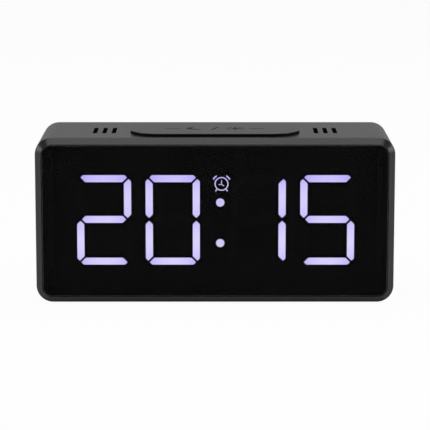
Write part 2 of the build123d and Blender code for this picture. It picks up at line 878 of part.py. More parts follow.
def usb_sketch_hole():
    x, z = usb_place()
    width = usb_width + 2 * usb_gap
    height = usb_height + 2 * usb_gap
    return plate_y(x, z, width, height, height / 2 - round_end_spare, cover_inside, cover_thickness)


def battery_opening():
    depth = door_thickness + door_seat_gap
    door_space = block(bay_x, cover_face - depth / 2, bay_z, opening_width, depth, opening_height)
    groove_depth = 2 * hinge_radius + door_gap
    groove_height = 2 * hinge_radius + 2 * door_gap
    groove = block(bay_x, cover_face - groove_depth / 2, opening_low + groove_height / 2,
                   opening_width, groove_depth, groove_height)
    sockets = along_x_rod(bay_x, hinge_y, hinge_z, pin_radius + pin_fit,
                          opening_width + 2 * (pin_length - door_gap + pin_fit))
    cells = block(bay_x, (cavity_floor + cavity_top) / 2, cavity_z,
                  cavity_width, cavity_top - cavity_floor, cavity_height)
    tags = [block(x, (bay_front + cavity_floor) / 2, z, contact_thickness + 2 * filler_fit,
                  cavity_floor - bay_front, contact_tag_width + 2 * filler_fit) for x, z in tag_places()]
    return [door_space, groove, sockets, cells] + tags


def along_x_rod(x, y, z, radius, length):
    return Pos(x, y, z) * Rot(0, 90, 0) * Cylinder(radius, length)


def make_battery_door():
    width = opening_width - 2 * door_gap
    top = opening_high - door_gap
    plate = block(bay_x, (door_back + cover_face) / 2, (hinge_z + top) / 2,
                  width, door_thickness, top - hinge_z)
    outer = [edge for edge in edges_at(plate, Axis.Y, cover_face)
             if edge.bounding_box().max.Z > hinge_z + door_gap]
    plate = fillet(outer, door_edge_round)
    slit_low = top - catch_height
    for side in (-1, 1):
        plate -= block(bay_x + side * (catch_width + catch_slit) / 2, (door_back + cover_face) / 2,
                       (slit_low + top) / 2 + door_gap, catch_slit, 2 * door_thickness,
                       catch_height + 2 * door_gap)
    plate += block(bay_x, door_back + catch_bump_depth / 2, top,
                   catch_width - 2 * catch_slit, catch_bump_depth, 2 * catch_bump)
    grip_z = top - catch_height / 2
    plate -= along_y(Pos(bay_x, grip_z) * Circle(grip_radius) & Pos(bay_x, grip_z) * Rectangle(
        catch_width, catch_height - 2 * catch_slit), cover_face - grip_depth, grip_depth)
    for number in range(grip_ribs):
        rib_z = grip_z + (number - (grip_ribs - 1) / 2) * grip_rib_pitch
        plate += block(bay_x, cover_face - grip_depth / 2, rib_z, grip_radius, grip_depth, grip_rib_width)
    plate += along_x_rod(bay_x, hinge_y, hinge_z, hinge_radius, width)
    return plate + along_x_rod(bay_x, hinge_y, hinge_z, pin_radius,
                               opening_width + 2 * (pin_length - door_gap))


def make_rear_cover_screws():
    face = cover_face - head_recess
    return gather([screw_y(sx * boss_x, mid_z + sz * boss_z, face, -1, rear_thread,
                           rear_screw_length - cover_thickness, rear_head, rear_head_height)
                   for sx, sz in corner_signs])


# Batteries and their contacts
def cell_rows():
    first = cavity_z + (cell_count - 1) / 2 * (2 * cell_radius + cell_gap)
    return [first - number * (2 * cell_radius + cell_gap) for number in range(cell_count)]


def cavity_end(side):
    return bay_x + side * cavity_width / 2


def nub_side(number):
    # The nub points left on the first and third cell and right on the second
    return -1 if number % 2 == 0 else 1


def make_battery_cell(number):
    z = cell_rows()[number]
    side = nub_side(number)
    nub_tip = cavity_end(side) - side * contact_thickness
    can_end = nub_tip - side * cell_nub_length
    can = along_x_rod(can_end - side * cell_length / 2, cell_y, z, cell_radius, cell_length)
    can = fillet(edges_at(can, Axis.X, can_end) + edges_at(can, Axis.X, can_end - side * cell_length),
                 cell_edge_round)
    return can + along_x_rod(can_end + side * cell_nub_length / 2, cell_y, z,
                             cell_nub_radius, cell_nub_length)


def contact_plate(side, low_z, high_z, tag_z):
    x = cavity_end(side) - side * contact_thickness / 2
    plate = block(x, cell_y, (low_z + high_z) / 2, contact_thickness, contact_height, high_z - low_z)
    low = cell_y - contact_height / 2
    end = bay_front - contact_tag_length
    return plate + block(x, (low + end) / 2, tag_z, contact_thickness, low - end, contact_tag_width)


def contact_spans():
    half = contact_height / 2
    rows = cell_rows()
    return {
        "positive": (-1, rows[0] - half, rows[0] + half, rows[0]),
        "negative": (1, rows[-1] - half, rows[-1] + half, rows[-1]),
        "right link": (1, rows[1] - half, rows[0] + half, (rows[0] + rows[1]) / 2),
        "left link": (-1, rows[-1] - half, rows[1] + half, (rows[1] + rows[-1]) / 2),
    }


def tag_places():
    return [(cavity_end(side) - side * contact_thickness / 2, tag_z)
            for side, low_z, high_z, tag_z in contact_spans().values()]


def make_battery_end_contacts():
    spans = contact_spans()
    return gather([contact_plate(*spans["positive"]), contact_plate(*spans["negative"])])


def make_battery_link_contacts():
    spans = contact_spans()
    return gather([contact_plate(*spans["right link"]), contact_plate(*spans["left link"])])


def make_battery_contact_springs():
    springs = []
    for number, z in enumerate(cell_rows()):
        side = -nub_side(number)
        start = cavity_end(side) - side * contact_thickness
        springs.append(coil_x(cell_y, z, start, start - side * cell_spring_length,
                              cell_spring_radius, cell_spring_wire, cell_spring_turns))
    return gather(springs)


# Main board and what is on it
def main_post_places():
    return [(main_x + sx * (main_board_width / 2 - board_hole_inset),
             main_z + sz * (main_board_height / 2 - board_hole_inset)) for sx, sz in corner_signs]


def make_main_board():
    board = plate_y(main_x, main_z, main_board_width, main_board_height, board_corner,
                    main_front, board_thickness)
    for x, z in main_post_places():
        board -= rod_y(x, z, small_thread + screw_hole_gap, main_front, board_thickness)
    return board


def make_main_board_screws():
    return gather([screw_y(x, z, main_front, 1, small_thread, small_screw_length, small_head,
                           small_head_height) for x, z in main_post_places()])


def make_controller_chip():
    x = main_x + chip_right
    z = main_z - chip_drop
    seat = main_front - chip_lead_thickness
    body = block(x, seat - chip_height / 2, z, chip_length, chip_height, chip_width)
    body = chamfer(edges_at(body, Axis.Y, seat - chip_height), chip_lead_thickness)
    pieces = [body]
    for side in (-1, 1):
        for number in range(chip_leads):
            lead_x = x + (number - (chip_leads - 1) / 2) * chip_lead_pitch
            foot_z = z + side * (chip_width + chip_lead_reach) / 2
            foot = block(lead_x, main_front - chip_lead_thickness / 2, foot_z,
                         chip_lead_width, chip_lead_thickness, chip_lead_reach)
            pieces.append(foot)
    return gather(pieces)


def make_clock_crystal():
    x = main_x - crystal_left
    z = main_z - chip_drop
    can = along_x_rod(x, main_front - crystal_radius, z, crystal_radius, crystal_length)
    return fillet(edges_at(can, Axis.X, x + crystal_length / 2), crystal_edge_round)


def make_capacitors():
    cans = []
    for number in range(capacitor_count):
        x = main_x - capacitor_left + (number - (capacitor_count - 1) / 2) * capacitor_pitch
        z = main_low + capacitor_rise
        can = rod_y(x, z, capacitor_radius, main_front - capacitor_height, capacitor_height)
        cans.append(fillet(edges_at(can, Axis.Y, main_front - capacitor_height), capacitor_edge_round))
    return gather(cans)


def make_resistors():
    z = main_z + resistor_rise
    depth = main_front - resistor_height / 2
    return gather([block(main_x + (number - (resistor_count - 1) / 2) * resistor_pitch, depth, z,
                         resistor_width, resistor_height, resistor_length)
                   for number in range(resistor_count)])


def make_driver_transistors():
    z = main_high - transistor_drop
    depth = main_front - transistor_height / 2
    first = main_x + chip_right
    return gather([block(first + number * transistor_pitch, depth, z,
                         transistor_length, transistor_height, transistor_width)
                   for number in range(transistor_count)])


def make_buzzer():
    x = main_x - buzzer_left
    z = main_z + buzzer_rise
    start = main_front - buzzer_height
    can = rod_y(x, z, buzzer_radius, start, buzzer_height)
    can = fillet(edges_at(can, Axis.Y, start), buzzer_edge_round)
    return can - rod_y(x, z, buzzer_hole_radius, start, buzzer_hole_depth)


def usb_place():
    return main_x - usb_left, main_low + usb_rise


def make_usb_socket_shell():
    x, z = usb_place()
    shell = plate_y(x, z, usb_width, usb_height, usb_height / 2 - round_end_spare, main_back, usb_length)
    inner_h = usb_height - 2 * usb_wall
    return shell - plate_y(x, z, usb_width - 2 * usb_wall, inner_h, inner_h / 2 - round_end_spare,
                           main_back + usb_back, usb_length - usb_back)


def make_usb_socket_tongue():
    x, z = usb_place()
    start = main_back + usb_back
    length = usb_length - usb_back - usb_tongue_short
    return block(x, start + length / 2, z, usb_tongue_width, length, usb_tongue_thickness)


# Ribbon and wires
def ribbon_line():
    # Side view of the ribbon's middle, from the display board to the main board
    start_z = mid_z - ribbon_front_drop
    end_z = main_low + ribbon_rear_rise
    start_y = display_board_back + ribbon_socket_depth - ribbon_slot_depth
    end_y = main_front - ribbon_socket_depth + ribbon_slot_depth
    low_z = min(start_z, end_z) - ribbon_sag
    reach = end_y - start_y
    turn_y = [start_y + reach * share for share in ribbon_turns]
    return [(start_y, start_z), *zip(turn_y, [start_z, low_z, low_z, end_z]), (end_y, end_z)]


def make_display_ribbon():
    points = [(ribbon_x, y, z) for y, z in ribbon_line()]
    path = FilletPolyline(*points, radius=ribbon_bend)
    section = Plane(origin=path @ 0, x_dir=(1, 0, 0), z_dir=path % 0) * Rectangle(ribbon_width,
                                                                                 ribbon_thickness)
    return sweep(section, path=path)


def make_ribbon_sockets():
    sockets = []
    ends = [(display_board_back, mid_z - ribbon_front_drop, 1), (main_front, main_low + ribbon_rear_rise, -1)]
    for face, z, direction in ends:
        socket = block(ribbon_x, face + direction * ribbon_socket_depth / 2, z,
                       ribbon_width + 2 * ribbon_socket_side, ribbon_socket_depth, ribbon_socket_height)
        slot = block(ribbon_x, face + direction * (ribbon_socket_depth - ribbon_slot_depth / 2), z,
                     ribbon_width + 2 * filler_fit, ribbon_slot_depth, ribbon_thickness + 2 * filler_fit)
        sockets.append(socket - slot)
    return gather(sockets)


def make_battery_lead(name):
    x, tag_z = [place for place, key in zip(tag_places(), contact_spans()) if key == name][0]
    y = bay_front - contact_tag_length - wire_radius
    pad_x = main_x + main_board_width / 2 - board_hole_inset
    pad_z = tag_z - lead_rise if name == "positive" else tag_z + lead_rise
    points = [(x, y, tag_z), (pad_x + lead_run, y, tag_z), (pad_x, y, pad_z), (pad_x, main_front, pad_z)]
    return wire_along(points, wire_radius, wire_bend)


def make_snooze_leads():
    leads = []
    start_y = bar_y + snooze_board_width / 2 - wire_bend
    low = snooze_board_bottom - wire_drop
    for side in (-1, 1):
        x = main_right - board_hole_inset - snooze_lead_left + side * snooze_lead_spacing / 2
        points = [(x, start_y, snooze_board_bottom), (x, start_y, low), (x, main_front, low)]
        leads.append(wire_along(points, wire_radius, wire_bend))
    return gather(leads)


# Every node, by the name of its file
nodes = {
    "main_housing": make_main_housing(),
    "front_lens": make_front_lens(),
    "lens_tape": make_lens_tape(),
    "rear_cover": make_rear_cover(),
    "rear_cover_screws": make_rear_cover_screws(),
    "snooze_bar": make_snooze_bar(),
    "snooze_spring_left": make_snooze_spring(-1),
    "snooze_spring_right": make_snooze_spring(1),
    "snooze_board": make_snooze_board(),
    "snooze_board_screws": make_snooze_board_screws(),
    "snooze_switch_body": make_snooze_switch_body(),
    "snooze_switch_stem": make_snooze_switch_stem(),
    "snooze_leads": make_snooze_leads(),
    "display_mask": make_display_mask(),
    "reflector_block": make_reflector_block(),
    "unlit_segments": make_unlit_segments(),
    "colon_dots": make_colon_dots(),
    "alarm_icon_filler": make_alarm_icon_filler(),
    "display_leds": make_display_leds(),
    "display_board": make_display_board(),
    "display_board_screws": make_display_board_screws(),
    "display_ribbon": make_display_ribbon(),
    "ribbon_sockets": make_ribbon_sockets(),
    "main_board": make_main_board(),
    "main_board_screws": make_main_board_screws(),
    "controller_chip": make_controller_chip(),
    "clock_crystal": make_clock_crystal(),
    "capacitors": make_capacitors(),
    "resistors": make_resistors(),
    "driver_transistors": make_driver_transistors(),
    "buzzer": make_buzzer(),
    "usb_socket_shell": make_usb_socket_shell(),
    "usb_socket_tongue": make_usb_socket_tongue(),
    "rear_switch_bodies": make_rear_switch_bodies(),
    "battery_door": make_battery_door(),
    "battery_end_contacts": make_battery_end_contacts(),
    "battery_link_contacts": make_battery_link_contacts(),
    "battery_contact_springs": make_battery_contact_springs(),
    "battery_lead_red": make_battery_lead("positive"),
    "battery_lead_black": make_battery_lead("negative"),
}
for name, place in zip(["front_left", "front_right", "rear_left", "rear_right"], foot_places()):
    nodes["foot_" + name] = make_foot(place)
for number in range(4):
    nodes[f"digit_{number + 1}_lit"] = gather(make_fillers(number, True))
for number in range(cell_count):
    nodes[f"battery_cell_{number + 1}"] = make_battery_cell(number)
for name, place in zip(button_names, button_places()):
    nodes[name + "_button"] = make_button(place)
    nodes[name + "_switch_stem"] = make_rear_stem(place)

for name, shape in nodes.items():
    export_step(shape, f"parts/{name}.step")
print(len(nodes), "nodes written")
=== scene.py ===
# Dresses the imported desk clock: plastics, smoked window, glowing digits, boards and small signs.
# Everything is in metres, in the frame of the CAD: the front faces -Y and the ground is z = 0.
import bmesh
import bpy
import math
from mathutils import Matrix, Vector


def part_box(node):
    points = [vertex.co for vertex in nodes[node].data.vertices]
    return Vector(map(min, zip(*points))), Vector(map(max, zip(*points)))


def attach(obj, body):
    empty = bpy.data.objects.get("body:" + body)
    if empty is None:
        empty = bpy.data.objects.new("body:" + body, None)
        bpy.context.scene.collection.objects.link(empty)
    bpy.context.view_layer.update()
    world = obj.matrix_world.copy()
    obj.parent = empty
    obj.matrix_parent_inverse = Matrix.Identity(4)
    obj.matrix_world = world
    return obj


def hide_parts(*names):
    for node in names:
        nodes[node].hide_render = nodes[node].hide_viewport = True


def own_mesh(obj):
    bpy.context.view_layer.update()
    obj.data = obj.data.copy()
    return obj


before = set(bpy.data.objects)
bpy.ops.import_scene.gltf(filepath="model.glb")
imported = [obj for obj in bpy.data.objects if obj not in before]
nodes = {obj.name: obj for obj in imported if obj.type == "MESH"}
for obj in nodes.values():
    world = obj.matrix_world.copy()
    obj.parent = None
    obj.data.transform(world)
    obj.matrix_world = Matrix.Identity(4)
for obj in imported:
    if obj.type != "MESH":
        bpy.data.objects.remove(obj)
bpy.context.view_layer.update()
scene = bpy.context.scene
scene.view_settings.view_transform = "Standard"
mm = 0.001
white = (1, 1, 1)
fullTurn = 2 * math.pi
print("loaded", len(nodes), "CAD nodes")


# Small helpers for the materials

def newMaterial(name):
    material = bpy.data.materials.new(name)
    material.use_nodes = True
    return material, material.node_tree, material.node_tree.nodes["Principled BSDF"]


def setShader(shader, values):
    for socket, value in values.items():
        shader.inputs[socket].default_value = value


def feedShader(tree, shader, sources):
    for socket, source in sources.items():
        tree.links.new(source, shader.inputs[socket])


def objectPlace(tree, stretch=(1, 1, 1)):
    # Place in the clock's own frame, so every piece shares one grain size
    coords = tree.nodes.new("ShaderNodeTexCoord")
    mapping = tree.nodes.new("ShaderNodeMapping")
    mapping.inputs["Scale"].default_value = stretch
    tree.links.new(coords.outputs["Object"], mapping.inputs["Vector"])
    return mapping.outputs["Vector"]


def noise(tree, place, scale, detail=2.0, roughness=0.5):
    node = tree.nodes.new("ShaderNodeTexNoise")
    node.inputs["Scale"].default_value = scale
    node.inputs["Detail"].default_value = detail
    node.inputs["Roughness"].default_value = roughness
    tree.links.new(place, node.inputs["Vector"])
    return node.outputs["Fac"]


def cells(tree, place, scale):
    node = tree.nodes.new("ShaderNodeTexVoronoi")
    node.inputs["Scale"].default_value = scale
    tree.links.new(place, node.inputs["Vector"])
    return node.outputs["Distance"]


def ramp(tree, source, stops):
    node = tree.nodes.new("ShaderNodeValToRGB")
    points = node.color_ramp.elements
    while len(points) < len(stops):
        points.new(0.5)  # its real place follows
    for point, (place, colour) in zip(points, stops):
        point.position = place
        point.color = (*colour, 1)
    tree.links.new(source, node.inputs["Fac"])
    return node.outputs["Color"]


def mottled(tree, source, first, second, start=0.3, end=0.7):
    return ramp(tree, source, [(start, first), (end, second)])


def shade(colour, factor):
    return tuple(part * factor for part in colour)


def spread(tree, source, low, high, start=0.0, end=1.0):
    node = tree.nodes.new("ShaderNodeMapRange")
    ends = {"From Min": start, "From Max": end, "To Min": low, "To Max": high}
    for key, value in ends.items():
        node.inputs[key].default_value = value
    tree.links.new(source, node.inputs["Value"])
    return node.outputs["Result"]


def maths(tree, operation, first, second=None):
    node = tree.nodes.new("ShaderNodeMath")
    node.operation = operation
    for socket, value in zip(node.inputs, (first, second)):
        if isinstance(value, (int, float)):
            socket.default_value = value
        elif value is not None:
            tree.links.new(value, socket)
    return node.outputs["Value"]


def axisValue(tree, place, axis):
    node = tree.nodes.new("ShaderNodeSeparateXYZ")
    tree.links.new(place, node.inputs["Vector"])
    return node.outputs[axis]


def distanceFrom(tree, place, axis, level):
    offset = maths(tree, "SUBTRACT", axisValue(tree, place, axis), level)
    return maths(tree, "ABSOLUTE", offset)


def mixColours(tree, blend):
    # The node's factor, its two colour inputs and its colour output
    node = tree.nodes.new("ShaderNodeMix")
    node.data_type = "RGBA"
    node.blend_type = blend
    pair = [item for item in node.inputs if item.type == "RGBA"]
    result = [item for item in node.outputs if item.type == "RGBA"][0]
    return node.inputs["Factor"], pair, result


def blendColours(tree, factor, first, second):
    share, pair, result = mixColours(tree, "MIX")
    for socket, value in zip(pair, (first, second)):
        if isinstance(value, tuple):
            socket.default_value = (*value, 1)
        else:
            tree.links.new(value, socket)
    tree.links.new(factor, share)
    return result


def tinted(tree, first, second):
    # Two colours multiplied
    share, pair, result = mixColours(tree, "MULTIPLY")
    share.default_value = 1.0
    for socket, source in zip(pair, (first, second)):
        tree.links.new(source, socket)
    return result


def relief(tree, shader, height, depth, strength):
    node = tree.nodes.new("ShaderNodeBump")
    node.inputs["Distance"].default_value = depth
    node.inputs["Strength"].default_value = strength
    tree.links.new(height, node.inputs["Height"])
    tree.links.new(node.outputs["Normal"], shader.inputs["Normal"])


# Plastics

def sparkPlastic(name, look):
    # Moulded ABS with a fine spark-eroded grain
    material, tree, shader = newMaterial(name)
    place = objectPlace(tree)
    grain = noise(tree, place, look["grainScale"], detail=3.0, roughness=0.6)
    cloud = noise(tree, place, look["cloudScale"])
    colour = mottled(tree, cloud, look["dark"], look["pale"])
    rough = spread(tree, grain, look["roughLow"], look["roughHigh"], start=0.3, end=0.7)
    setShader(shader, {"Specular IOR Level": look["specular"]})
    if "flankDrop" in look:
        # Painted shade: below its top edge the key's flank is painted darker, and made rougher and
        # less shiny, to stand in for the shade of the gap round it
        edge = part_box("snooze_bar")[1].z - look["flankDrop"]
        flank = maths(tree, "LESS_THAN", axisValue(tree, place, "Z"), edge)
        colour = blendColours(tree, flank, colour, look["flankShadeColour"])
        coarse = maths(tree, "MULTIPLY", flank, look["flankRough"])
        rough = maths(tree, "MAXIMUM", rough, coarse)
        shine = spread(tree, flank, look["specular"], look["flankSpecular"])
        feedShader(tree, shader, {"Specular IOR Level": shine})
    feedShader(tree, shader, {"Base Color": colour, "Roughness": rough})
    relief(tree, shader, grain, look["grainDepth"], look["grainStrength"])
    return material


casePlasticLook = {
    "dark": (0.0092, 0.0094, 0.0100), "pale": (0.0120, 0.0122, 0.0128), "cloudScale": 45.0,
    "grainScale": 2600.0, "grainDepth": 0.03 * mm, "grainStrength": 0.35,
    "roughLow": 0.24, "roughHigh": 0.32, "specular": 0.42,
}
barPlasticLook = dict(
    casePlasticLook, grainScale=3200.0, roughLow=0.26, roughHigh=0.34,
    # Painted shade: the flank colour stands in for the shade of the gap round the key
    flankDrop=0.2 * mm, flankShadeColour=(0.0025, 0.0025, 0.0028), flankRough=0.65, flankSpecular=0.06)
rearPlasticLook = dict(
    casePlasticLook, dark=(0.0088, 0.0090, 0.0096), pale=(0.0112, 0.0114, 0.0120),
    grainScale=1900.0, grainStrength=0.5)
keyPlasticLook = dict(
    casePlasticLook, dark=(0.014, 0.014, 0.015), pale=(0.018, 0.018, 0.019),
    roughLow=0.32, roughHigh=0.4, grainStrength=0.2)
wellPlasticLook = dict(
    casePlasticLook, dark=(0.011, 0.011, 0.012), pale=(0.015, 0.015, 0.016),
    roughLow=0.5, roughHigh=0.62, grainStrength=0.2)


def smokedWindow(name, look):
    # The alpha is plain, because the viewers of the export read it as it is
    material, tree, shader = newMaterial(name)
    place = objectPlace(tree)
    smear = noise(tree, place, look["smearScale"], detail=3.0)
    tint = mottled(tree, smear, look["colour"], shade(look["colour"], look["smearShade"]),
                   start=0.35, end=0.65)
    # Painted highlight: only the bevel round the front face is painted pale, to stand in for the
    # light it catches
    depth = maths(tree, "SUBTRACT", axisValue(tree, place, "Y"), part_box("front_lens")[0].y)
    bevelHighlight = maths(tree, "MULTIPLY", maths(tree, "GREATER_THAN", depth, look["bevelStart"]),
                   maths(tree, "LESS_THAN", depth, look["bevelEnd"]))
    feedShader(tree, shader, {
        "Base Color": blendColours(tree, bevelHighlight, tint, look["bevelHighlight"]),
        "Roughness": spread(tree, smear, look["roughLow"], look["roughHigh"])})
    setShader(shader, {"Alpha": look["alpha"], "Specular IOR Level": look["specular"]})
    return material


windowLook = {
    "colour": (0.0056, 0.0056, 0.0059), "alpha": 0.6, "specular": 0.03,
    "smearScale": 60.0, "smearShade": 1.12, "roughLow": 0.05, "roughHigh": 0.08,
    # Painted highlight: the pale bevel colour stands in for the light that the bevel catches
    "bevelHighlight": (0.23, 0.23, 0.235), "bevelStart": 0.05 * mm, "bevelEnd": 0.42 * mm,
}


def milkyFiller(name, look, centre=None):
    # Resin with fine scattering dust: it glows a little unevenly
    material, tree, shader = newMaterial(name)
    place = objectPlace(tree)
    mottle = noise(tree, place, look["mottleScale"], detail=3.0, roughness=0.6)
    colour = mottled(tree, mottle, look["colour"], shade(look["colour"], look["mottleShade"]))
    feedShader(tree, shader, {"Base Color": colour})
    setShader(shader, {"Roughness": look["roughness"]})
    if look["glow"] > 0:
        # Bluer towards the top of the display, and strongest right in front of each LED
        low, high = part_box("digit_4_lit")
        height = spread(tree, axisValue(tree, place, "Z"), 0, 1, start=low.z, end=high.z)
        glow = tinted(tree, ramp(tree, height, look["rising"]),
                      mottled(tree, mottle, look["mottleDim"], white))
        if centre is not None:
            away = ledDistance(tree, place, centre, look["barWidth"])
            reach = spread(tree, away, 0, 1, start=0, end=look["fadeLength"])
            glow = tinted(tree, glow, ramp(tree, reach, look["fade"]))
        feedShader(tree, shader, {"Emission Color": glow})
        setShader(shader, {"Emission Strength": look["glow"]})
    relief(tree, shader, mottle, look["bumpDepth"], look["bumpStrength"])
    return material


def digitCentres():
    # The third digit lights only its right side, so its middle comes from the others' pitch
    first, second, fourth = [(low.x + high.x) / 2 for low, high in (
        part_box(f"digit_{number}_lit") for number in (1, 2, 4))]
    return [first, second, fourth - (second - first), fourth]


def ledDistance(tree, place, centre, barWidth):
    # The seven LEDs of a digit fold onto three: top or bottom bar, middle bar and upright
    low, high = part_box("digit_2_lit")
    side = (high.x - low.x - barWidth) / 2
    rise = (high.z - low.z - barWidth) / 2
    folded = tree.nodes.new("ShaderNodeCombineXYZ")
    tree.links.new(distanceFrom(tree, place, "X", centre), folded.inputs["X"])
    tree.links.new(distanceFrom(tree, place, "Z", (low.z + high.z) / 2), folded.inputs["Z"])
    nearest = None
    for spot in ((0, 0, rise), (0, 0, 0), (side, 0, rise / 2)):
        node = tree.nodes.new("ShaderNodeVectorMath")
        node.operation = "DISTANCE"
        tree.links.new(folded.outputs["Vector"], node.inputs[0])
        node.inputs[1].default_value = spot
        reach = node.outputs["Value"]
        nearest = reach if nearest is None else maths(tree, "MINIMUM", nearest, reach)
    return nearest


fillerLook = {"mottleScale": 420.0, "mottleShade": 0.9, "bumpDepth": 0.05 * mm,
              "bumpStrength": 0.3}
litLook = dict(
    fillerLook, colour=(0.75, 0.72, 0.9), roughness=0.5, glow=6.1, mottleDim=(0.95, 0.95, 0.985),
    rising=[(0.0, (0.69, 0.64, 1.0)), (0.25, (0.73, 0.68, 1.0)), (0.52, (0.68, 0.625, 1.0)),
            (0.75, (0.7, 0.645, 1.0)), (0.9, (0.68, 0.62, 1.0)), (0.95, (0.605, 0.54, 1.0))],
    fade=[(0.0, white), (0.3, (0.985, 0.98, 1.0)), (0.6, (0.915, 0.905, 0.985)),
          (0.8, (0.83, 0.81, 0.95)), (1.0, (0.74, 0.71, 0.89))],
    fadeLength=10 * mm, barWidth=3 * mm)
dotLook = dict(litLook, glow=5.5, mottleDim=(0.89, 0.885, 0.985))
unlitLook = dict(fillerLook, colour=(0.009, 0.009, 0.01), roughness=0.55, glow=0)


def printedFilm(name, look):
    material, tree, shader = newMaterial(name)
    speck = noise(tree, objectPlace(tree), look["speckScale"])
    colour = mottled(tree, speck, look["colour"], shade(look["colour"], look["speckShade"]))
    feedShader(tree, shader, {
        "Base Color": colour,
        "Roughness": spread(tree, speck, look["roughLow"], look["roughHigh"])})
    setShader(shader, {"Specular IOR Level": look["specular"]})
    return material


maskLook = {"colour": (0.003, 0.003, 0.0032), "speckScale": 900.0, "speckShade": 1.25,
            "roughLow": 0.55, "roughHigh": 0.7, "specular": 0.2}


def closedFoam(name, look):
    material, tree, shader = newMaterial(name)
    pores = cells(tree, objectPlace(tree), look["poreScale"])
    # Painted shade: the pores are darker down in their dips
    colour = mottled(tree, pores, shade(look["colour"], look["paintedPoreShade"]), look["colour"],
                     start=0.0, end=0.6)
    feedShader(tree, shader, {"Base Color": colour})
    setShader(shader, {"Roughness": look["roughness"]})
    relief(tree, shader, pores, look["poreDepth"], look["poreStrength"])
    return material


tapeLook = {"colour": (0.012, 0.012, 0.012), "poreScale": 3500.0, "paintedPoreShade": 0.6,
            "poreDepth": 0.08 * mm, "poreStrength": 0.6, "roughness": 0.9}


def softRubber(name, look):
    material, tree, shader = newMaterial(name)
    dust = noise(tree, objectPlace(tree), look["dustScale"], detail=4.0, roughness=0.65)
    colour = mottled(tree, dust, look["colour"], shade(look["colour"], look["dustShade"]),
                     start=0.35, end=0.75)
    feedShader(tree, shader, {
        "Base Color": colour,
        "Roughness": spread(tree, dust, look["roughLow"], look["roughHigh"])})
    relief(tree, shader, dust, look["dustDepth"], look["dustStrength"])
    return material


footLook = {"colour": (0.016, 0.016, 0.017), "dustScale": 700.0, "dustShade": 1.7,
            "dustDepth": 0.06 * mm, "dustStrength": 0.4, "roughLow": 0.72, "roughHigh": 0.88}


def plainMoulding(name, look):
    # Sockets, stems and switch bodies
    material, tree, shader = newMaterial(name)
    place = objectPlace(tree)
    flow = noise(tree, place, look["grainScale"] * look["flowPerGrain"])
    skin = noise(tree, place, look["grainScale"], detail=3.0)
    rough, drift = look["roughness"], look["roughDrift"]
    feedShader(tree, shader, {
        "Base Color": mottled(tree, flow, shade(look["colour"], look["flowShade"]), look["colour"]),
        "Roughness": spread(tree, skin, rough - drift, rough + drift)})
    relief(tree, shader, skin, look["grainDepth"], look["grainStrength"])
    return material


mouldingLook = {"grainScale": 1200.0, "flowPerGrain": 0.125, "flowShade": 0.88,
                "roughDrift": 0.06, "grainDepth": 0.02 * mm, "grainStrength": 0.25}
transistorLook = dict(mouldingLook, colour=(0.02, 0.02, 0.022), roughness=0.45, grainScale=2500.0)
switchLook = dict(mouldingLook, colour=(0.025, 0.025, 0.026), roughness=0.42)
stemLook = dict(mouldingLook, colour=(0.3, 0.2, 0.12), roughness=0.4)
socketLook = dict(mouldingLook, colour=(0.72, 0.68, 0.56), roughness=0.5)
tongueLook = dict(mouldingLook, colour=(0.02, 0.02, 0.021), roughness=0.45)


# Metals

def brushedMetal(name, look, along):
    # Fine drawn or brushed lines, which run along one axis
    material, tree, shader = newMaterial(name)
    stretch = tuple(look["lineStretch"] if axis == along else 1 for axis in "xyz")
    lines = noise(tree, objectPlace(tree, stretch), look["lineScale"], detail=3.0, roughness=0.7)
    stain = noise(tree, objectPlace(tree), look["stainScale"])
    colour, rough = look["colour"], look["roughness"]
    feedShader(tree, shader, {
        "Base Color": mottled(tree, stain, shade(colour, look["stainShade"]), colour),
        "Roughness": spread(tree, lines, rough - look["smoother"], rough + look["rougher"])})
    relief(tree, shader, lines, look["lineDepth"], look["lineStrength"])
    setShader(shader, {"Metallic": 1.0})
    return material


metalLook = {"lineScale": 900.0, "lineStretch": 0.05, "lineDepth": 0.01 * mm, "lineStrength": 0.3,
             "stainScale": 160.0, "stainShade": 0.82, "smoother": 0.08, "rougher": 0.1}
screwLook = dict(metalLook, colour=(0.5, 0.5, 0.51), roughness=0.34)
springLook = dict(metalLook, colour=(0.56, 0.56, 0.57), roughness=0.28, lineScale=2500.0)
contactLook = dict(metalLook, colour=(0.68, 0.67, 0.63), roughness=0.26)
inletLook = dict(metalLook, colour=(0.6, 0.6, 0.6), roughness=0.24)
crystalLook = dict(metalLook, colour=(0.66, 0.66, 0.66), roughness=0.22)


# Boards and what sits on them

def circuitBoard(name, look):
    # Solder mask over tracks: nested square rings, a little paler and raised
    material, tree, shader = newMaterial(name)
    place = objectPlace(tree)
    net = tree.nodes.new("ShaderNodeTexVoronoi")
    net.distance = "MANHATTAN"
    net.feature = "F1"
    net.inputs["Scale"].default_value = look["trackScale"]
    net.inputs["Randomness"].default_value = look["unevenness"]
    tree.links.new(place, net.inputs["Vector"])
    rings = maths(tree, "PINGPONG", net.outputs["Distance"], look["ringStep"])
    track = maths(tree, "LESS_THAN", rings, look["trackShare"] * look["ringStep"])
    weave = noise(tree, place, look["weaveScale"])
    feedShader(tree, shader, {
        "Base Color": blendColours(tree, track, look["mask"], look["track"]),
        "Roughness": spread(tree, weave, look["roughLow"], look["roughHigh"])})
    relief(tree, shader, track, look["trackDepth"], look["trackStrength"])
    return material


boardLook = {
    "mask": (0.008, 0.07, 0.032), "track": (0.014, 0.115, 0.05), "trackScale": 210.0,
    "unevenness": 0.75, "ringStep": 0.14, "trackShare": 0.16, "trackDepth": 0.04 * mm,
    "trackStrength": 0.5, "weaveScale": 1500.0, "roughLow": 0.25, "roughHigh": 0.38,
}


